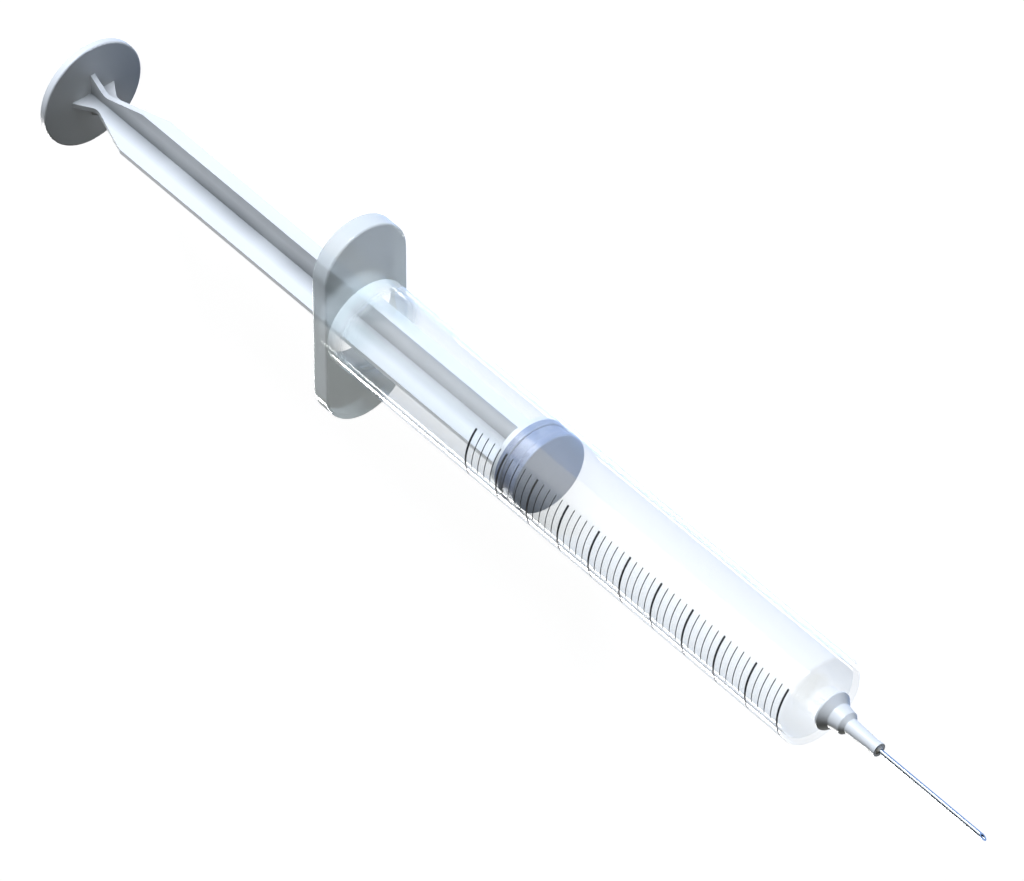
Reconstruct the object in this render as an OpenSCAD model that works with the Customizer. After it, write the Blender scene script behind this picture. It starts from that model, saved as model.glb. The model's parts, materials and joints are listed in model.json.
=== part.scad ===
// Single-barrel piston syringe with a slip-on needle, lying on its side.
// X runs along the axis towards the needle, Y along the finger flange, Z up from the table.
// Distances along the axis are counted from the flange's front face, and the drawing is then centred on X.

/* [Barrel] */
// Bore that the stopper slides in
bore_d = 13.6; // [12:0.1:16]
// Thickness of the barrel's wall
wall_t = 0.7; // [0.5:0.05:1.5]
// Length from the flange's front face to the front end
barrel_l = 101.6; // [85:0.1:130]
// Thickness of the front end wall
end_wall_t = 1; // [0.8:0.1:2]
// Radius of the barrel's front edge
nose_r = 0.4; // [0.1:0.05:0.6]
// Height of the bead in the bore that keeps the stopper from being pulled out
bead_h = 0.2; // [0.1:0.05:0.3]
// Length of the bead along the axis
bead_l = 1.2; // [0.8:0.1:3]
// Distance from the flange's front face to the middle of the bead
bead_at = 2; // [1:0.1:10]
// Lead-in chamfer at the barrel's open end
mouth_chamfer = 0.4; // [0.1:0.05:0.5]

/* [Finger flange] */
// Length across both finger grips
flange_l = 37; // [28:1:50]
// Thickness of the flange
flange_t = 3.2; // [1.5:0.1:4.5]
// Height of the flange's flat sides over the barrel's wall
flange_proud = 0.2; // [0.05:0.05:1]
// Radius of the flange's edges
flange_edge_r = 0.35; // [0.1:0.05:0.6]

/* [Tip] */
// Diameter of the boss that carries the slip tip
boss_d = 5.4; // [4:0.1:8]
// Length of the boss
boss_l = 2; // [0.5:0.1:4]
// Diameter of the slip tip at its root
tip_root_d = 3.1; // [2.8:0.1:3.5]
// Length of the slip tip
tip_l = 3; // [2.5:0.1:8]
// Bore through the slip tip
tip_bore_d = 1.2; // [0.8:0.1:1.8]

/* [Plunger rod] */
// Diameter of the thumb disc
thumb_d = 18.4; // [17.6:0.1:26]
// Thickness of the thumb disc
thumb_t = 1.3; // [1:0.1:3]
// Radius of the thumb disc's edges
thumb_edge_r = 0.3; // [0.1:0.05:0.45]
// Width of the grip grooves on the back of the thumb disc
grip_w = 0.5; // [0.2:0.1:1]
// Depth of the grip grooves
grip_depth = 0.15; // [0.05:0.05:0.4]
// Room left between the thumb disc and the flange with the plunger pushed home
thumb_stand_off = 3; // [1:0.5:10]
// Width across two opposite webs
web_w = 9.7; // [7:0.1:11]
// Thickness of a web
web_t = 0.8; // [0.6:0.1:1.6]
// Width across the webs where they flare out on the thumb disc
flare_w = 8; // [5:0.1:10]
// Width across the webs where their flanks meet at the neck
neck_w = 3.7; // [2.5:0.1:4.8]
// Distance from the thumb disc to the neck
neck_at = 3.4; // [2.5:0.1:5]
// Radius between the flanks at the neck
neck_r = 2; // [0.5:0.1:3]
// Length over which the webs widen again after the neck
shoulder_l = 9.2; // [4:0.2:20]
// Thickness of the disc behind the stopper
end_disc_t = 0.9; // [0.6:0.1:2]
// Room between the end disc and the bore
end_disc_clear = 0.35; // [0.32:0.01:0.6]

/* [Stopper] */
// Length of the stopper
stopper_l = 4.5; // [4.2:0.1:8]
// Distance from the stopper to the end wall, which sets the dose that is left
stopper_gap = 58.9; // [10:0.1:64]
// Length of each sealing rib
rib_l = 1.3; // [0.8:0.1:1.8]
// Depth of the groove between the ribs
groove_depth = 0.3; // [0.1:0.05:0.6]
// Radius of the ribs' edges
rib_edge_r = 0.25; // [0.1:0.05:0.38]
// Radial room between the ribs and the bore
seal_clear = 0.04; // [0.02:0.01:0.08]
// Diameter of the barb's neck in the stopper's lip
barb_neck_d = 4.4; // [3:0.1:4.8]
// Diameter of the barb's head
barb_head_d = 6.2; // [5.4:0.1:7.5]
// Thickness of the stopper's lip that the barb holds
lip_t = 1.1; // [0.8:0.1:1.4]
// Length of the barb's head
barb_head_l = 1.6; // [1:0.1:1.8]
// Room round the barb
barb_clear = 0.05; // [0.02:0.01:0.1]

/* [Needle] */
// Diameter of the flange at the back of the hub
hub_flange_d = 6.4; // [5:0.1:9]
// Thickness of the hub's flange at its rim
hub_flange_t = 0.3; // [0.2:0.1:1.5]
// Length of the cone in front of the hub's flange
hub_flare_l = 1.2; // [0.2:0.1:1.6]
// Gap between the hub's flange and the boss
hub_seat_gap = 0.2; // [0.1:0.1:1]
// Radial room between the tip and the hub's socket
taper_clear = 0.02; // [0.01:0.01:0.05]
// Diameter of the hub's tapered base in front of that cone
hub_base_d = 4.3; // [4:0.1:5]
// Diameter of the hub at its step
hub_step_d = 3.7; // [3.6:0.1:4.2]
// Distance from the floor of the socket to the step
hub_floor_t = 0.35; // [0.3:0.05:3]
// Length of the cone that joins the step to the hub's body
hub_cone_l = 0.7; // [0.2:0.1:2]
// Diameter of the hub's body in front of the step
hub_body_d = 2.5; // [2:0.1:3]
// Diameter of the hub's body at its front
hub_nose_d = 1.9; // [1.7:0.1:2.4]
// Length of the hub in front of the step
hub_body_l = 6.8; // [4:0.1:10]
// Height of the ring at the hub's front end
hub_ring_h = 0.15; // [0.05:0.05:0.4]
// Length of the ring at the hub's front end
hub_ring_l = 0.8; // [0.4:0.1:2]
// Outside diameter of the needle tube
cannula_d = 0.72; // [0.5:0.01:1]
// Bore of the needle tube
cannula_bore_d = 0.41; // [0.2:0.01:0.45]
// Length of the needle tube in front of the hub
needle_l = 22.5; // [6:0.1:40]
// Length of the needle tube's slanted end
bevel_l = 1.2; // [0.4:0.1:4]
// Diameter of the well that holds the adhesive
well_d = 1.4; // [1.1:0.1:1.5]
// Depth of the well
well_depth = 1; // [0.5:0.1:2]
// Height of the adhesive over the hub's end
bond_crown_h = 0.25; // [0.1:0.05:0.5]

/* [Hidden] */
$fn = 96;
overrun = 1;
outline_steps = 8;
bead_crest_share = 0.3;
tip_taper_share = 0.06;
socket_floor_gap = 0.25;
barb_nose_share = 0.7;
grip_shares = [0.36, 0.57, 0.78];
stopper_play = 0.05;

barrel_d = bore_d + 2 * wall_t;
flange_w = barrel_d + 2 * flange_proud;
chamber_end = barrel_l - end_wall_t;
boss_front = barrel_l + boss_l;
tip_front = boss_front + tip_l;
tip_end_d = tip_root_d - tip_taper_share * tip_l;

stopper_d = bore_d - 2 * seal_clear;
stopper_front = chamber_end - stopper_gap;
stopper_rear = stopper_front - stopper_l;
rod_front = stopper_rear - stopper_play;
rod_l = chamber_end - stopper_l - stopper_play + flange_t + thumb_stand_off;
rod_rear = rod_front - rod_l;
end_disc_d = bore_d - 2 * end_disc_clear;
barb_neck_l = stopper_play + lip_t + barb_clear;

hub_rear = boss_front + hub_seat_gap;
socket_floor = tip_front + socket_floor_gap;
hub_step = socket_floor + hub_floor_t;
hub_base_rear = hub_rear + hub_flange_t + hub_flare_l;
hub_base_l = hub_step - hub_base_rear;
hub_front = hub_step + hub_body_l;
needle_tip = hub_front + needle_l;

x_mid = (rod_rear - thumb_t + needle_tip) / 2;
axis_z = max(thumb_d, flange_w) / 2;

// Places a shape that is drawn along Z on the syringe's axis, a distance ahead of the flange's front face
module on_axis(at) {
    translate([at - x_mid, 0, axis_z]) rotate([0, 90, 0]) children();
}

// Half section of a plate with rounded edges, to be turned or extruded
module edge_section(half_w, thick, edge_r) {
    square([half_w - edge_r, thick]);
    translate([0, edge_r]) square([half_w, thick - 2 * edge_r]);
    for (level = [edge_r, thick - edge_r]) translate([half_w - edge_r, level]) circle(r = edge_r);
}

// Oblong finger flange with straight flat sides and round ends
module finger_flange() {
    end_at = (flange_l - flange_w) / 2;
    for (side = [-1, 1]) translate([0, side * end_at, 0])
        rotate_extrude() edge_section(flange_w / 2, flange_t, flange_edge_r);
    translate([0, end_at, 0]) rotate([90, 0, 0]) linear_extrude(2 * end_at) {
        edge_section(flange_w / 2, flange_t, flange_edge_r);
        mirror([1, 0, 0]) edge_section(flange_w / 2, flange_t, flange_edge_r);
    }
}

// Low ring in the bore with sloping flanks
module retaining_bead() {
    crest_l = bead_l * bead_crest_share;
    rotate_extrude() polygon([
        [bore_d / 2 + wall_t / 2, -bead_l / 2], [bore_d / 2, -bead_l / 2],
        [bore_d / 2 - bead_h, -crest_l / 2], [bore_d / 2 - bead_h, crest_l / 2],
        [bore_d / 2, bead_l / 2], [bore_d / 2 + wall_t / 2, bead_l / 2]]);
}

module barrel() {
    color([0.90, 0.93, 0.96, 0.35]) {
        difference() {
            union() {
                on_axis(-flange_t) finger_flange();
                on_axis(-flange_t / 2) rotate_extrude() {
                    square([barrel_d / 2, barrel_l + flange_t / 2 - nose_r]);
                    square([barrel_d / 2 - nose_r, barrel_l + flange_t / 2]);
                    translate([barrel_d / 2 - nose_r, barrel_l + flange_t / 2 - nose_r]) circle(r = nose_r);
                }
                on_axis(barrel_l - end_wall_t / 2) cylinder(d = boss_d, h = boss_l + end_wall_t / 2);
                on_axis(boss_front) cylinder(d1 = tip_root_d, d2 = tip_end_d, h = tip_l);
            }
            on_axis(-flange_t - overrun) cylinder(d = bore_d, h = chamber_end + flange_t + overrun);
            on_axis(-flange_t) cylinder(d1 = bore_d + 2 * mouth_chamfer, d2 = bore_d, h = mouth_chamfer);
            on_axis(chamber_end - overrun)
                cylinder(d = tip_bore_d, h = tip_front - chamber_end + 2 * overrun);
        }
        on_axis(bead_at) retaining_bead();
    }
}

// One pair of opposite webs, seen from the side, with its long direction along Y: a flare on the thumb disc,
// a round neck and a straight shoulder up to the full width
module web_outline() {
    flare_a = atan((flare_w - neck_w) / 2 / neck_at);
    shoulder_a = atan((web_w - neck_w) / 2 / shoulder_l);
    tangent_l = neck_r * tan((flare_a + shoulder_a) / 2);
    neck_x = neck_w / 2 + tangent_l * sin(flare_a) + neck_r * cos(flare_a);
    neck_y = neck_at - tangent_l * cos(flare_a) + neck_r * sin(flare_a);
    turns = [for (i = [0 : outline_steps]) -flare_a + (flare_a + shoulder_a) * i / outline_steps];
    edge = concat(
        [[flare_w / 2, -thumb_t / 2], [flare_w / 2, 0]],
        [for (turn = turns) [neck_x - neck_r * cos(turn), neck_y + neck_r * sin(turn)]],
        [[web_w / 2, neck_at + shoulder_l], [web_w / 2, rod_l - end_disc_t / 2]]);
    back = [for (i = [len(edge) - 1 : -1 : 0]) [-edge[i][0], edge[i][1]]];
    polygon(concat(edge, back));
}

// Thumb disc with grip grooves in its back
module thumb_disc() {
    rotate_extrude() difference() {
        edge_section(thumb_d / 2, thumb_t, thumb_edge_r);
        for (share = grip_shares) translate([share * thumb_d / 2 - grip_w / 2, 0])
            square([grip_w, grip_depth]);
    }
}

module plunger_rod() {
    color([0.95, 0.95, 0.94]) {
        on_axis(rod_rear - thumb_t) thumb_disc();
        on_axis(rod_rear) for (turn = [0, 90])
            rotate([90, 0, turn]) linear_extrude(web_t, center = true) web_outline();
        on_axis(rod_front - end_disc_t) cylinder(d = end_disc_d, h = end_disc_t);
        on_axis(rod_front - end_disc_t / 2) cylinder(d = barb_neck_d, h = end_disc_t / 2 + barb_neck_l);
        on_axis(rod_front + barb_neck_l)
            cylinder(d1 = barb_head_d, d2 = barb_head_d * barb_nose_share, h = barb_head_l);
    }
}

// Rubber stopper with two sealing ribs, snapped over the rod's barb
module stopper() {
    color([0.27, 0.29, 0.29]) on_axis(stopper_rear) difference() {
        rotate_extrude() {
            square([stopper_d / 2 - groove_depth, stopper_l]);
            for (level = [0, stopper_l - rib_l]) translate([0, level])
                edge_section(stopper_d / 2, rib_l, rib_edge_r);
        }
        translate([0, 0, -overrun]) cylinder(d = barb_neck_d + 2 * barb_clear, h = lip_t + 2 * overrun);
        translate([0, 0, lip_t]) cylinder(d1 = barb_head_d + 2 * barb_clear,
            d2 = barb_head_d * barb_nose_share + 2 * barb_clear, h = barb_head_l + 2 * barb_clear);
    }
}

// Hub that fits over the slip tip, with a tapered socket behind and a bore for the tube in front
module needle_hub() {
    socket_l = socket_floor - hub_rear;
    mouth_d = tip_root_d - tip_taper_share * hub_seat_gap + 2 * taper_clear;
    floor_d = mouth_d - tip_taper_share * socket_l;
    color([0.96, 0.96, 0.95]) difference() {
        union() {
            on_axis(hub_rear) cylinder(d = hub_flange_d, h = hub_flange_t);
            on_axis(hub_rear + hub_flange_t) cylinder(d1 = hub_flange_d, d2 = hub_base_d, h = hub_flare_l);
            on_axis(hub_base_rear) cylinder(d1 = hub_base_d, d2 = hub_step_d, h = hub_base_l);
            on_axis(hub_step) cylinder(d1 = hub_step_d, d2 = hub_body_d, h = hub_cone_l);
            on_axis(hub_step + hub_cone_l)
                cylinder(d1 = hub_body_d, d2 = hub_nose_d, h = hub_body_l - hub_cone_l);
            on_axis(hub_front - hub_ring_l) cylinder(d = hub_nose_d + 2 * hub_ring_h, h = hub_ring_l);
        }
        on_axis(hub_rear) cylinder(d1 = mouth_d, d2 = floor_d, h = socket_l);
        on_axis(hub_rear) cylinder(d = cannula_d, h = hub_front - hub_rear + overrun);
        on_axis(hub_front - well_depth) cylinder(d = well_d, h = well_depth + overrun);
    }
}

// Steel tube whose front end is cut at a slant that faces +Y
module cannula() {
    tube_l = needle_tip - socket_floor;
    cut_y = cannula_d / 2 + overrun;
    cut_rise = bevel_l * overrun / cannula_d;
    cut_top = tube_l + cut_rise + 2 * overrun;
    color([0.75, 0.77, 0.79]) on_axis(socket_floor) difference() {
        cylinder(d = cannula_d, h = tube_l + overrun);
        translate([0, 0, -overrun]) cylinder(d = cannula_bore_d, h = tube_l + 3 * overrun);
        rotate([90, 0, 90]) linear_extrude(2 * cut_y, center = true) polygon([
            [-cut_y, tube_l + cut_rise], [cut_y, tube_l - bevel_l - cut_rise],
            [cut_y, cut_top], [-cut_y, cut_top]]);
    }
}

// Cured adhesive in the hub's well, rising a little up the tube
module cannula_bond() {
    color([0.86, 0.85, 0.80]) on_axis(hub_front - well_depth) difference() {
        union() {
            cylinder(d = well_d, h = well_depth);
            translate([0, 0, well_depth]) cylinder(d1 = well_d, d2 = cannula_d, h = bond_crown_h);
        }
        translate([0, 0, -overrun]) cylinder(d = cannula_d, h = well_depth + bond_crown_h + 2 * overrun);
    }
}

barrel();
plunger_rod();
stopper();
needle_hub();
cannula();
cannula_bond();
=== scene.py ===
import json
import math

import bmesh
import bpy
from mathutils import Matrix, Vector


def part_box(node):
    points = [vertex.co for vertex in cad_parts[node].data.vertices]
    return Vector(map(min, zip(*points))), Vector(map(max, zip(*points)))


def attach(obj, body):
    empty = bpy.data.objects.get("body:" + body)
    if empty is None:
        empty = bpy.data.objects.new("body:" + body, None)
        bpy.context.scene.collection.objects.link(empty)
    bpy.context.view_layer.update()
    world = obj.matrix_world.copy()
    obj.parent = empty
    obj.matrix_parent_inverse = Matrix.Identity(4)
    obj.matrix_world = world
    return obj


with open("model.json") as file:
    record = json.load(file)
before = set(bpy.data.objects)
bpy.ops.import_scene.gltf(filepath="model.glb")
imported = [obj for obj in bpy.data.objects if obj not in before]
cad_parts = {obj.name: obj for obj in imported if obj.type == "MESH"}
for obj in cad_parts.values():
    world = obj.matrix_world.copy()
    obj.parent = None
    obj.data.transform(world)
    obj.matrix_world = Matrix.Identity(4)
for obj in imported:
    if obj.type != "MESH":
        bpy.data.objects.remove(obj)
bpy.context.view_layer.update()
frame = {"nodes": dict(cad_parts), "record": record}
nodes = frame["nodes"]
mm = 0.001
print("frame loaded:", ", ".join(sorted(nodes)))


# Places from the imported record: the barrel's wall and axis, the flange's front and the thumb disc's back
mounts = {mount["name"]: mount for mount in frame["record"]["mounts"]}
barrelRadius = mounts["barrel_outside"]["dims"]["r_mm"] * mm
barrelMiddle = Vector(mounts["barrel_outside"]["pos_m"])
barrelWallLength = mounts["barrel_outside"]["dims"]["length_mm"] * mm
axisHeight = barrelMiddle.z
flangeFront = mounts["flange_front"]["pos_m"][0]
thumbFace = mounts["thumb_face"]["pos_m"][0]


# Camera at the photograph's viewing angle: its place, where it looks, and which way is up in the picture
photoView = {
    "imageWidthPx": 1024,
    "focalPx": 10155,
    "sensorMm": 36.0,
    "placeMm": (811.7, 1022.1, 689.3),
    "aimMm": (-12.3, -12.6, 0.4),
    "pictureUp": (-0.534, 0.720, -0.443),
    "clipEndM": 20.0,
}


def addCamera(view):
    camera = bpy.data.cameras.new("photo_camera")
    camera.sensor_fit = "HORIZONTAL"
    camera.sensor_width = view["sensorMm"]
    camera.lens = view["focalPx"] * view["sensorMm"] / view["imageWidthPx"]
    camera.clip_end = view["clipEndM"]
    place = Vector(view["placeMm"]) * mm
    back = (place - Vector(view["aimMm"]) * mm).normalized()
    right = Vector(view["pictureUp"]).cross(back).normalized()
    up = back.cross(right)
    body = bpy.data.objects.new("photo_camera", camera)
    turn = Matrix((right, up, back)).transposed().to_4x4()
    body.matrix_world = Matrix.Translation(place) @ turn
    bpy.context.scene.collection.objects.link(body)
    bpy.context.scene.camera = body


addCamera(photoView)
print("camera set")


# An sRGB hex value as the linear colour that sockets take
def hexColour(code):
    channels = [int(code[i:i + 2], 16) / 255 for i in (0, 2, 4)]
    return [c / 12.92 if c <= 0.04045 else ((c + 0.055) / 1.055) ** 2.4 for c in channels] + [1.0]


# Sockets of a Mix node that mixes two colours: they share their names, so they go by number
mixShare, mixA, mixB, mixOut = 0, 6, 7, 2


# Adds one node, gives its sockets, properties and ramp stops their values, and links what feeds it.
# A node among the feeds gives its first output.
def addNode(tree, kind, values=None, feeds=None):
    node = tree.nodes.new(kind)
    for name, value in (values or {}).items():
        if name == "stops":
            elements = node.color_ramp.elements
            while len(elements) < len(value):
                elements.new(1.0)
            for element, (place, code) in zip(elements, value):
                element.position = place
                element.color = hexColour(code)
        elif isinstance(name, int) or name in node.inputs:
            node.inputs[name].default_value = value
        else:
            setattr(node, name, value)
    for name, source in (feeds or {}).items():
        output = source.outputs[0] if isinstance(source, bpy.types.Node) else source
        tree.links.new(output, node.inputs[name])
    return node


def newMaterial(name):
    material = bpy.data.materials.new(name)
    material.use_nodes = True
    material.node_tree.nodes.clear()
    return material, material.node_tree


# Studio: a floor and a dim sky, both white to the eye
studio = {
    "backdrop": "ffffff",
    "floorHalfM": 3.0,
    "floorColour": "8a8d8f",    # for the light that bounces off it
    "floorGlow": 0.93,          # what the eye sees of it without the lamps
    "floorLit": 0.30,           # and its share of the lamps' light, in which the shadow shows
    "skyColour": "eef0ea",
    "skyStrength": 0.08,
    # What gloss mirrors, as stops from -Y to +Y: a card on the floor, and one all round
    "floorCardHalfM": 0.03,
    "floorCard": ((0.0, "2c2e2c"), (0.12, "3a3c3a"), (0.26, "f2f6ff"), (0.40, "9cb4dc"), (1.0, "97bbf4")),
    "floorCardStrength": 2.5,
    "skyCard": ((0.0, "121312"), (0.44, "2c2f2d"), (0.54, "8f9493"), (0.74, "b4babd"), (0.79, "ffffff")),
    "skyCardStrength": 2.3,
}

# A large low softbox from +Y
keyLamp = {
    "from": (-0.20, 0.96, 0.17),
    "distanceM": 1.3,
    "sizeM": (0.8, 0.45),
    "powerW": 26.0,
    "colour": "ebf2ff",
}

# A long one opposite, which keeps the far side from going dark
fillLamp = {
    "from": (-0.50, -0.86, 0.10),
    "distanceM": 1.5,
    "sizeM": (1.0, 0.25),
    "powerW": 20.0,
    "colour": "ffffff",
}


def addSoftbox(name, spec):
    lamp = bpy.data.lights.new(name, "AREA")
    lamp.shape = "RECTANGLE"
    lamp.size, lamp.size_y = spec["sizeM"]
    lamp.energy = spec["powerW"]
    lamp.color = hexColour(spec["colour"])[:3]
    body = bpy.data.objects.new(name, lamp)
    towards = Vector(spec["from"]).normalized()
    body.location = Vector((0, 0, axisHeight)) + towards * spec["distanceM"]
    body.rotation_euler = towards.to_track_quat("Z", "Y").to_euler()
    bpy.context.scene.collection.objects.link(body)


# Rays that see the white backdrop, which are the eye's own and those that clear plastic sends on,
# and rays that gloss sends out before any matt surface has scattered them
def sortRays(tree):
    noBounce = 0.5      # a count of bounces below this is none
    path = addNode(tree, "ShaderNodeLightPath").outputs
    sentOn = addNode(tree, "ShaderNodeMath", {"operation": "MAXIMUM"},
                     {0: path["Is Camera Ray"], 1: path["Is Transmission Ray"]})
    bounces = addNode(tree, "ShaderNodeMath", {"operation": "ADD"},
                      {0: path["Diffuse Depth"], 1: path["Glossy Depth"]})
    unbounced = addNode(tree, "ShaderNodeMath", {"operation": "LESS_THAN", 1: noBounce}, {0: bounces})
    direct = addNode(tree, "ShaderNodeMath", {"operation": "MULTIPLY"}, {0: sentOn, 1: unbounced})
    unscattered = addNode(tree, "ShaderNodeMath", {"operation": "LESS_THAN", 1: noBounce},
                          {0: path["Diffuse Depth"]})
    gloss = addNode(tree, "ShaderNodeMath", {"operation": "MULTIPLY"},
                    {0: path["Is Glossy Ray"], 1: unscattered})
    return direct, gloss


# White for the eye with the object's shadow, a striped card for gloss, and grey for all other rays
def addFloor(spec):
    material, tree = newMaterial("pale_studio_floor")
    direct, gloss = sortRays(tree)
    half, cardHalf = spec["floorHalfM"], spec["floorCardHalfM"]
    coords = addNode(tree, "ShaderNodeTexCoord")
    place = addNode(tree, "ShaderNodeSeparateXYZ", None, {0: coords.outputs["Object"]})
    across = addNode(tree, "ShaderNodeMapRange", {"From Min": -cardHalf, "From Max": cardHalf},
                     {"Value": place.outputs["Y"]})
    card = addNode(tree, "ShaderNodeValToRGB", {"stops": spec["floorCard"]}, {0: across})
    mirrored = addNode(tree, "ShaderNodeEmission", {"Strength": spec["floorCardStrength"]}, {"Color": card})
    grey = addNode(tree, "ShaderNodeBsdfDiffuse", {"Color": hexColour(spec["floorColour"])})
    glow = addNode(tree, "ShaderNodeEmission",
                   {"Color": hexColour(spec["backdrop"]), "Strength": spec["floorGlow"]})
    shade = addNode(tree, "ShaderNodeBsdfDiffuse", {"Color": [spec["floorLit"]] * 3 + [1.0]})
    white = addNode(tree, "ShaderNodeAddShader", None, {0: glow, 1: shade})
    unseen = addNode(tree, "ShaderNodeMixShader", None, {0: gloss, 1: grey, 2: mirrored})
    surface = addNode(tree, "ShaderNodeMixShader", None, {0: direct, 1: unseen, 2: white})
    addNode(tree, "ShaderNodeOutputMaterial", None, {"Surface": surface})
    corners = [(-half, -half, 0), (half, -half, 0), (half, half, 0), (-half, half, 0)]
    mesh = bpy.data.meshes.new("studio_floor")
    mesh.from_pydata(corners, [], [(0, 1, 2, 3)])
    mesh.materials.append(material)
    floor = bpy.data.objects.new("studio_floor", mesh)
    bpy.context.scene.collection.objects.link(floor)


# White for the eye, for gloss a card that is dark at -Y and bright at +Y, and a dim sky for all other rays
def addSky(spec):
    world = bpy.data.worlds.new("studio_world")
    world.use_nodes = True
    tree = world.node_tree
    tree.nodes.clear()
    direct, gloss = sortRays(tree)
    coords = addNode(tree, "ShaderNodeTexCoord")
    direction = addNode(tree, "ShaderNodeSeparateXYZ", None, {0: coords.outputs["Generated"]})
    across = addNode(tree, "ShaderNodeMapRange", {"From Min": -1.0, "From Max": 1.0},
                     {"Value": direction.outputs["Y"]})
    card = addNode(tree, "ShaderNodeValToRGB", {"stops": spec["skyCard"]}, {0: across})
    mirrored = addNode(tree, "ShaderNodeBackground", {"Strength": spec["skyCardStrength"]}, {"Color": card})
    dim = addNode(tree, "ShaderNodeBackground",
                  {"Color": hexColour(spec["skyColour"]), "Strength": spec["skyStrength"]})
    white = addNode(tree, "ShaderNodeBackground", {"Color": hexColour(spec["backdrop"]), "Strength": 1.0})
    unseen = addNode(tree, "ShaderNodeMixShader", None, {0: gloss, 1: dim, 2: mirrored})
    surface = addNode(tree, "ShaderNodeMixShader", None, {0: direct, 1: unseen, 2: white})
    addNode(tree, "ShaderNodeOutputWorld", None, {"Surface": surface})
    bpy.context.scene.world = world


addFloor(studio)
addSky(studio)
addSoftbox("key_softbox", keyLamp)
addSoftbox("fill_softbox", fillLamp)
bpy.context.scene.view_settings.view_transform = "Standard"
print("studio lit")


# Natural polypropylene, injection moulded: clear in the thin wall, grey and milky in the flange and the tip,
# with a bright skin
clearBarrel = {
    "wallColour": "fcfdfd",
    "thickColour": "eef3f3",
    "ior": 1.005,             # solid polypropylene has 1.49, but a thin wall hardly bends what is behind it
    "skinIor": 1.49,
    "skinWeight": 0.6,
    "skinRoughness": 0.05,
    "roughness": (0.05, 0.10),
    "wallClear": 0.92,        # share that passes each face of the thin wall
    "thickClear": 0.45,       # and each face of the thick flange and tip
    "rootMm": 4.0,            # length over which the flange's milkiness fades into the wall
    "tipMm": 3.1,             # the slip tip and the boss's front, as milky as the flange
    "flowMm": 9.0,            # width of the faint flow marks
    "flowStretch": 4.0,       # and how much longer they are, along the barrel
    "flowDetail": 2.0,
    "bump": 0.02,
    "bumpMm": 0.01,
}


def clearPolypropylene(spec):
    material, tree = newMaterial("natural_moulded_polypropylene")
    coords = addNode(tree, "ShaderNodeTexCoord")
    place = addNode(tree, "ShaderNodeSeparateXYZ", None, {0: coords.outputs["Object"]}).outputs
    aheadOfRoot = addNode(tree, "ShaderNodeMapRange",
                          {"From Min": flangeFront, "From Max": flangeFront + spec["rootMm"] * mm},
                          {"Value": place["X"]})
    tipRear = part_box("barrel")[1].x - spec["tipMm"] * mm
    behindTip = addNode(tree, "ShaderNodeMath", {"operation": "LESS_THAN", 1: tipRear}, {0: place["X"]})
    thin = addNode(tree, "ShaderNodeMath", {"operation": "MULTIPLY"}, {0: aheadOfRoot, 1: behindTip})
    clear = addNode(tree, "ShaderNodeMapRange", {"To Min": spec["thickClear"], "To Max": spec["wallClear"]},
                    {"Value": thin})
    tints = {mixA: hexColour(spec["thickColour"]), mixB: hexColour(spec["wallColour"])}
    colour = addNode(tree, "ShaderNodeMix", {"data_type": "RGBA", **tints}, {mixShare: thin}).outputs[mixOut]
    stretched = addNode(tree, "ShaderNodeMapping", {"Scale": (1 / spec["flowStretch"], 1.0, 1.0)},
                        {"Vector": coords.outputs["Object"]})
    flow = addNode(tree, "ShaderNodeTexNoise",
                   {"Scale": 1 / (spec["flowMm"] * mm), "Detail": spec["flowDetail"]}, {"Vector": stretched})
    smooth, rough = spec["roughness"]
    gloss = addNode(tree, "ShaderNodeMapRange", {"To Min": smooth, "To Max": rough}, {"Value": flow})
    bump = addNode(tree, "ShaderNodeBump", {"Strength": spec["bump"], "Distance": spec["bumpMm"] * mm},
                   {"Height": flow})
    plastic = addNode(tree, "ShaderNodeBsdfPrincipled",
                      {"IOR": spec["ior"], "Coat Weight": spec["skinWeight"], "Coat IOR": spec["skinIor"],
                       "Coat Roughness": spec["skinRoughness"]},
                      {"Base Color": colour, "Transmission Weight": clear, "Roughness": gloss,
                       "Normal": bump})
    # Light from the lamps and from matt surfaces passes straight through
    path = addNode(tree, "ShaderNodeLightPath").outputs
    through = addNode(tree, "ShaderNodeBsdfTransparent", None, {"Color": colour})
    lamps = addNode(tree, "ShaderNodeMixShader", None, {0: path["Is Shadow Ray"], 1: plastic, 2: through})
    surface = addNode(tree, "ShaderNodeMixShader", None, {0: path["Is Diffuse Ray"], 1: lamps, 2: through})
    addNode(tree, "ShaderNodeOutputMaterial", None, {"Surface": surface})
    return material


# White polyethylene, injection moulded: satin, with a fine mould texture, and painted shade with some dust
# where the rod's webs meet
whiteRod = {
    "colour": "dfe1e0",
    "shade": "d8dadb",
    "ior": 1.5,
    "specular": 0.3,
    "roughness": (0.32, 0.46),
    "grainMm": 0.35,          # mould texture, coarser than the real one so that it shows
    "grainDetail": 2.0,
    "flowMm": 12.0,           # faint clouds of shade from the melt's flow
    "flowDetail": 3.0,
    "bump": 0.12,
    "bumpMm": 0.02,
    # The grey painted into the corners between the webs: painted shade, with some dust
    "dustAndShade": "8a8d8e",
    "dustAndShadeMm": (0.4, 3.0),     # thick up to the first distance from the corner, gone at the second
    "dustAndShadePatchy": (0.6, 1.3), # least and most of it from place to place
    "dustAndShadeAheadOfThumbMm": 1.3,
}

# White polypropylene, injection moulded: a little smoother and whiter than the rod, and clean
hubPlastic = {
    "colour": "e3e5e4",
    "shade": "dcdfdf",
    "ior": 1.5,
    "specular": 0.3,
    "roughness": (0.26, 0.40),
    "grainMm": 0.25,          # coarser than the real one so that it shows
    "grainDetail": 2.0,
    "flowMm": 4.0,
    "flowDetail": 3.0,
    "bump": 0.12,
    "bumpMm": 0.02,
}
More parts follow.
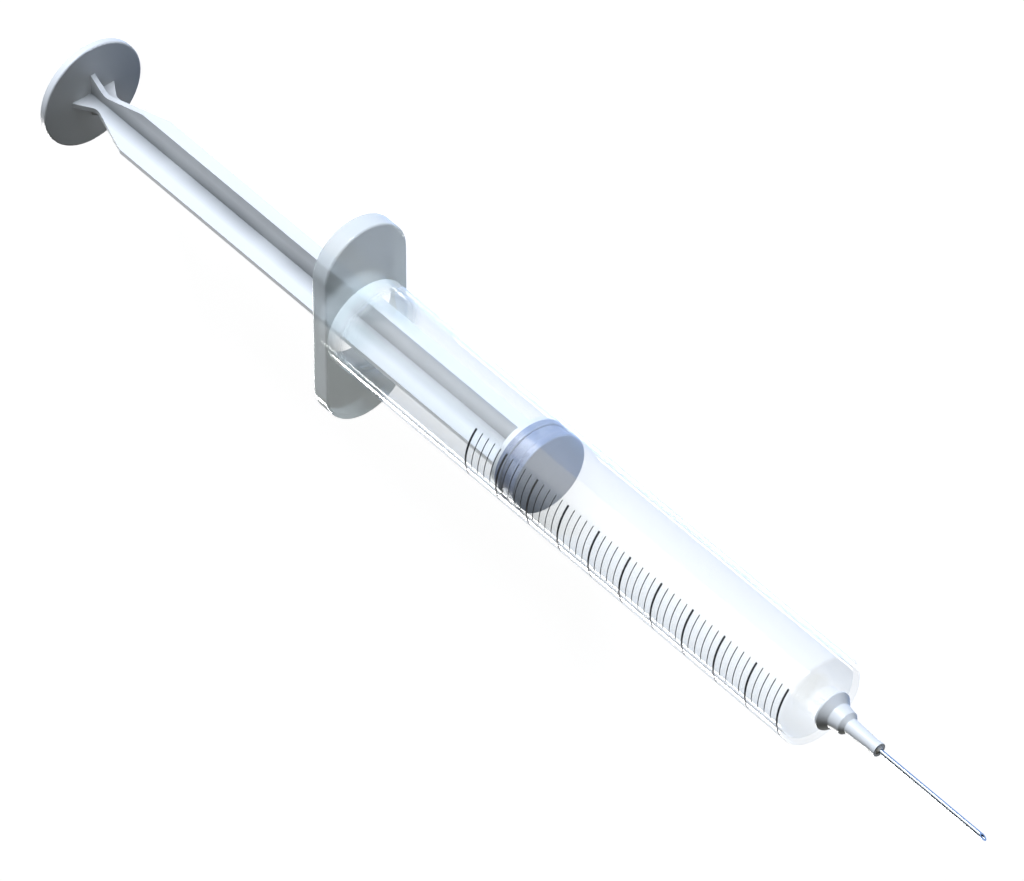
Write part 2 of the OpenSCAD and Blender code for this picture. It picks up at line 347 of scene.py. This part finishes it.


# Share of painted shade with some dust, by the distance from the corners where the webs meet, ahead of the
# thumb disc
def webDustAndShade(tree, coords, flow, spec):
    place = addNode(tree, "ShaderNodeSeparateXYZ", None, {0: coords.outputs["Object"]}).outputs
    height = addNode(tree, "ShaderNodeMath", {"operation": "SUBTRACT", 1: axisHeight}, {0: place["Z"]})
    upDown = addNode(tree, "ShaderNodeMath", {"operation": "ABSOLUTE"}, {0: height})
    sideways = addNode(tree, "ShaderNodeMath", {"operation": "ABSOLUTE"}, {0: place["Y"]})
    reach = addNode(tree, "ShaderNodeMath", {"operation": "MAXIMUM"}, {0: upDown, 1: sideways})
    near, far = spec["dustAndShadeMm"]
    corner = addNode(tree, "ShaderNodeMapRange",
                     {"From Min": near * mm, "From Max": far * mm, "To Min": 1.0, "To Max": 0.0},
                     {"Value": reach})
    least, most = spec["dustAndShadePatchy"]
    patchy = addNode(tree, "ShaderNodeMapRange", {"To Min": least, "To Max": most}, {"Value": flow})
    dustyAndShaded = addNode(tree, "ShaderNodeMath", {"operation": "MULTIPLY"}, {0: corner, 1: patchy})
    webStart = thumbFace + spec["dustAndShadeAheadOfThumbMm"] * mm
    ahead = addNode(tree, "ShaderNodeMath", {"operation": "GREATER_THAN", 1: webStart}, {0: place["X"]})
    return addNode(tree, "ShaderNodeMath", {"operation": "MULTIPLY"}, {0: dustyAndShaded, 1: ahead})


def whitePlastic(name, spec):
    material, tree = newMaterial(name)
    coords = addNode(tree, "ShaderNodeTexCoord")
    flow = addNode(tree, "ShaderNodeTexNoise",
                   {"Scale": 1 / (spec["flowMm"] * mm), "Detail": spec["flowDetail"]},
                   {"Vector": coords.outputs["Object"]})
    grain = addNode(tree, "ShaderNodeTexNoise",
                    {"Scale": 1 / (spec["grainMm"] * mm), "Detail": spec["grainDetail"]},
                    {"Vector": coords.outputs["Object"]})
    tints = {mixA: hexColour(spec["colour"]), mixB: hexColour(spec["shade"])}
    colour = addNode(tree, "ShaderNodeMix", {"data_type": "RGBA", **tints}, {mixShare: flow}).outputs[mixOut]
    # Painted shade, with some dust, darkens the corners between the webs
    if "dustAndShade" in spec:
        colour = addNode(tree, "ShaderNodeMix", {"data_type": "RGBA", mixB: hexColour(spec["dustAndShade"])},
                         {mixShare: webDustAndShade(tree, coords, flow, spec), mixA: colour}).outputs[mixOut]
    smooth, rough = spec["roughness"]
    gloss = addNode(tree, "ShaderNodeMapRange", {"To Min": smooth, "To Max": rough}, {"Value": grain})
    bump = addNode(tree, "ShaderNodeBump", {"Strength": spec["bump"], "Distance": spec["bumpMm"] * mm},
                   {"Height": grain})
    plastic = addNode(tree, "ShaderNodeBsdfPrincipled",
                      {"IOR": spec["ior"], "Specular IOR Level": spec["specular"]},
                      {"Base Color": colour, "Roughness": gloss, "Normal": bump})
    addNode(tree, "ShaderNodeOutputMaterial", None, {"Surface": plastic})
    return material


# Grey synthetic rubber, compression moulded: satin and a little dusty, with painted light on its end faces,
# painted shade on its side and a painted blue reflection
rubber = {
    # The end faces are painted lighter and the side darker, as painted light and shade; their blue tint is a
    # painted reflection
    "paintedLightEndColour": "98a4b9",
    "paintedShadeSideColour": "5f6c88",
    # Dust only: no shade is painted with it here
    "dustAndShade": "a4afc2",
    "ior": 1.52,
    "roughness": (0.26, 0.44),
    "grainMm": 0.25,          # coarser than the real one so that it shows
    "grainDetail": 2.0,
    "bump": 0.05,
    "bumpMm": 0.02,
    "dustAndShadeMm": 2.5,
    "dustDetail": 4.0,
    "dustFrom": (0.45, 0.8),  # the noise's range in which dust goes from none to its most
    "dustMost": 0.5,
}


def mouldedRubber(spec):
    material, tree = newMaterial("grey_moulded_rubber")
    coords = addNode(tree, "ShaderNodeTexCoord")
    dustAndShade = addNode(tree, "ShaderNodeTexNoise",
                   {"Scale": 1 / (spec["dustAndShadeMm"] * mm), "Detail": spec["dustDetail"]},
                   {"Vector": coords.outputs["Object"]})
    grain = addNode(tree, "ShaderNodeTexNoise",
                    {"Scale": 1 / (spec["grainMm"] * mm), "Detail": spec["grainDetail"]},
                    {"Vector": coords.outputs["Object"]})
    bare, dusted = spec["dustFrom"]
    share = addNode(tree, "ShaderNodeMapRange",
                    {"From Min": bare, "From Max": dusted, "To Max": spec["dustMost"]}, {"Value": dustAndShade})
    # Painted light on the end faces and painted shade on the side, by which way each face points
    facing = addNode(tree, "ShaderNodeSeparateXYZ", None, {0: coords.outputs["Normal"]})
    ends = addNode(tree, "ShaderNodeMath", {"operation": "ABSOLUTE"}, {0: facing.outputs["X"]})
    tints = {mixA: hexColour(spec["paintedShadeSideColour"]), mixB: hexColour(spec["paintedLightEndColour"])}
    clean = addNode(tree, "ShaderNodeMix", {"data_type": "RGBA", **tints}, {mixShare: ends}).outputs[mixOut]
    colour = addNode(tree, "ShaderNodeMix", {"data_type": "RGBA", mixB: hexColour(spec["dustAndShade"])},
                     {mixShare: share, mixA: clean}).outputs[mixOut]
    smooth, rough = spec["roughness"]
    gloss = addNode(tree, "ShaderNodeMapRange", {"To Min": smooth, "To Max": rough}, {"Value": grain})
    bump = addNode(tree, "ShaderNodeBump", {"Strength": spec["bump"], "Distance": spec["bumpMm"] * mm},
                   {"Height": grain})
    skin = addNode(tree, "ShaderNodeBsdfPrincipled", {"IOR": spec["ior"]},
                   {"Base Color": colour, "Roughness": gloss, "Normal": bump})
    addNode(tree, "ShaderNodeOutputMaterial", None, {"Surface": skin})
    return material


# Drawn stainless steel tube: bright metal with fine draw lines along its length
steel = {
    "colour": "92979e",
    "roughness": (0.15, 0.30),
    "drawLineMm": 0.06,       # coarser than the real ones so that they show
    "drawLengthMm": 6.0,
    "drawDetail": 2.0,
    "bump": 0.1,
    "bumpMm": 0.005,
}


def drawnStainless(spec):
    material, tree = newMaterial("drawn_stainless_steel")
    coords = addNode(tree, "ShaderNodeTexCoord")
    along = addNode(tree, "ShaderNodeMapping",
                    {"Scale": (spec["drawLineMm"] / spec["drawLengthMm"], 1.0, 1.0)},
                    {"Vector": coords.outputs["Object"]})
    lines = addNode(tree, "ShaderNodeTexNoise",
                    {"Scale": 1 / (spec["drawLineMm"] * mm), "Detail": spec["drawDetail"]}, {"Vector": along})
    smooth, rough = spec["roughness"]
    gloss = addNode(tree, "ShaderNodeMapRange", {"To Min": smooth, "To Max": rough}, {"Value": lines})
    bump = addNode(tree, "ShaderNodeBump", {"Strength": spec["bump"], "Distance": spec["bumpMm"] * mm},
                   {"Height": lines})
    metal = addNode(tree, "ShaderNodeBsdfPrincipled",
                    {"Base Color": hexColour(spec["colour"]), "Metallic": 1.0},
                    {"Roughness": gloss, "Normal": bump})
    addNode(tree, "ShaderNodeOutputMaterial", None, {"Surface": metal})
    return material


# Cured epoxy adhesive: glossy, slightly amber, cloudy and dimpled where it has shrunk
adhesive = {
    "colour": "d9d3c2",
    "cloudy": "efece2",
    "ior": 1.54,
    "roughness": (0.15, 0.30),
    "cloudMm": 0.5,
    "cloudDetail": 2.0,
    "bump": 0.2,
    "bumpMm": 0.02,
}


def curedAdhesive(spec):
    material, tree = newMaterial("cured_clear_adhesive")
    coords = addNode(tree, "ShaderNodeTexCoord")
    cloud = addNode(tree, "ShaderNodeTexNoise",
                    {"Scale": 1 / (spec["cloudMm"] * mm), "Detail": spec["cloudDetail"]},
                    {"Vector": coords.outputs["Object"]})
    tints = {mixA: hexColour(spec["colour"]), mixB: hexColour(spec["cloudy"])}
    colour = addNode(tree, "ShaderNodeMix", {"data_type": "RGBA", **tints}, {mixShare: cloud}).outputs[mixOut]
    smooth, rough = spec["roughness"]
    gloss = addNode(tree, "ShaderNodeMapRange", {"To Min": smooth, "To Max": rough}, {"Value": cloud})
    bump = addNode(tree, "ShaderNodeBump", {"Strength": spec["bump"], "Distance": spec["bumpMm"] * mm},
                   {"Height": cloud})
    resin = addNode(tree, "ShaderNodeBsdfPrincipled", {"IOR": spec["ior"]},
                    {"Base Color": colour, "Roughness": gloss, "Normal": bump})
    addNode(tree, "ShaderNodeOutputMaterial", None, {"Surface": resin})
    return material


def dress(node, material):
    body = nodes[node]
    body.data.materials.clear()
    body.data.materials.append(material)


dress("barrel", clearPolypropylene(clearBarrel))
dress("plunger_rod", whitePlastic("white_moulded_polyethylene", whiteRod))
dress("stopper", mouldedRubber(rubber))
dress("needle_hub", whitePlastic("white_moulded_polypropylene", hubPlastic))
dress("cannula", drawnStainless(steel))
dress("cannula_bond", curedAdhesive(adhesive))
print("mouldings and needle dressed")


# Black pad-printing ink: matt and thin, with small pinholes in the print
ink = {
    "colour": "17181a",
    "thin": "3b3d40",
    "ior": 1.5,
    "roughness": (0.55, 0.75),
    "pinholeMm": 0.18,
    "pinholeDetail": 3.0,
    "pinholeFrom": (0.5, 0.75),   # the noise's range in which the ink goes from full to thin
    "bump": 0.1,
    "bumpMm": 0.01,
}


def padInk(spec):
    material, tree = newMaterial("black_pad_ink")
    coords = addNode(tree, "ShaderNodeTexCoord")
    holes = addNode(tree, "ShaderNodeTexNoise",
                    {"Scale": 1 / (spec["pinholeMm"] * mm), "Detail": spec["pinholeDetail"]},
                    {"Vector": coords.outputs["Object"]})
    full, worn = spec["pinholeFrom"]
    share = addNode(tree, "ShaderNodeMapRange", {"From Min": full, "From Max": worn}, {"Value": holes})
    tints = {mixA: hexColour(spec["colour"]), mixB: hexColour(spec["thin"])}
    colour = addNode(tree, "ShaderNodeMix", {"data_type": "RGBA", **tints}, {mixShare: share}).outputs[mixOut]
    smooth, rough = spec["roughness"]
    gloss = addNode(tree, "ShaderNodeMapRange", {"To Min": smooth, "To Max": rough}, {"Value": holes})
    bump = addNode(tree, "ShaderNodeBump",
                   {"Strength": spec["bump"], "Distance": spec["bumpMm"] * mm, "invert": True},
                   {"Height": holes})
    film = addNode(tree, "ShaderNodeBsdfPrincipled", {"IOR": spec["ior"]},
                   {"Base Color": colour, "Roughness": gloss, "Normal": bump})
    addNode(tree, "ShaderNodeOutputMaterial", None, {"Surface": film})
    return material


# Printed scale: thin raised ink lines that wrap round the barrel, angles counted from straight up towards +Y
scale = {
    "zeroBehindWallEndMm": 0.6,
    "millilitres": 10,
    "stepsPerMillilitre": 5,
    "boreMm": 13.6,
    "startDeg": 44.2,
    "longEndDeg": -23.0,
    "shortEndDeg": -3.0,
    "longWidthMm": 0.38,
    "shortWidthMm": 0.16,
    "filmMm": 0.02,
    "arcSteps": 28,
}


# One ink line: a closed curved strip that follows the wall
def addInkLine(mesh, x, width, endDeg, spec):
    inner, outer = barrelRadius, barrelRadius + spec["filmMm"] * mm
    section = ((inner, -width / 2), (inner, width / 2), (outer, width / 2), (outer, -width / 2))
    rings = []
    for i in range(spec["arcSteps"] + 1):
        angle = math.radians(spec["startDeg"] + (endDeg - spec["startDeg"]) * i / spec["arcSteps"])
        ring = []
        for radius, along in section:
            place = (x + along, radius * math.sin(angle), axisHeight + radius * math.cos(angle))
            ring.append(mesh.verts.new(place))
        rings.append(ring)
    count = len(section)
    for ring, nextRing in zip(rings, rings[1:]):
        for k in range(count):
            after = (k + 1) % count
            mesh.faces.new((ring[k], ring[after], nextRing[after], nextRing[k]))
    mesh.faces.new(rings[0][::-1])
    mesh.faces.new(rings[-1])


def addScale(spec):
    mesh = bmesh.new()
    steps = spec["stepsPerMillilitre"]
    zero = barrelMiddle.x + barrelWallLength / 2 - spec["zeroBehindWallEndMm"] * mm
    millilitreMm3 = 1000
    boreArea = math.pi * spec["boreMm"] ** 2 / 4
    spacing = millilitreMm3 / boreArea / steps * mm
    for i in range(spec["millilitres"] * steps + 1):
        kind = "long" if i % steps == 0 else "short"
        addInkLine(mesh, zero - i * spacing, spec[kind + "WidthMm"] * mm, spec[kind + "EndDeg"], spec)
    bmesh.ops.recalc_face_normals(mesh, faces=mesh.faces)
    data = bpy.data.meshes.new("scale_print")
    mesh.to_mesh(data)
    mesh.free()
    data.materials.append(padInk(ink))
    piece = bpy.data.objects.new("scale_print", data)
    bpy.context.scene.collection.objects.link(piece)
    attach(piece, "barrel")


addScale(scale)
print("scale printed")
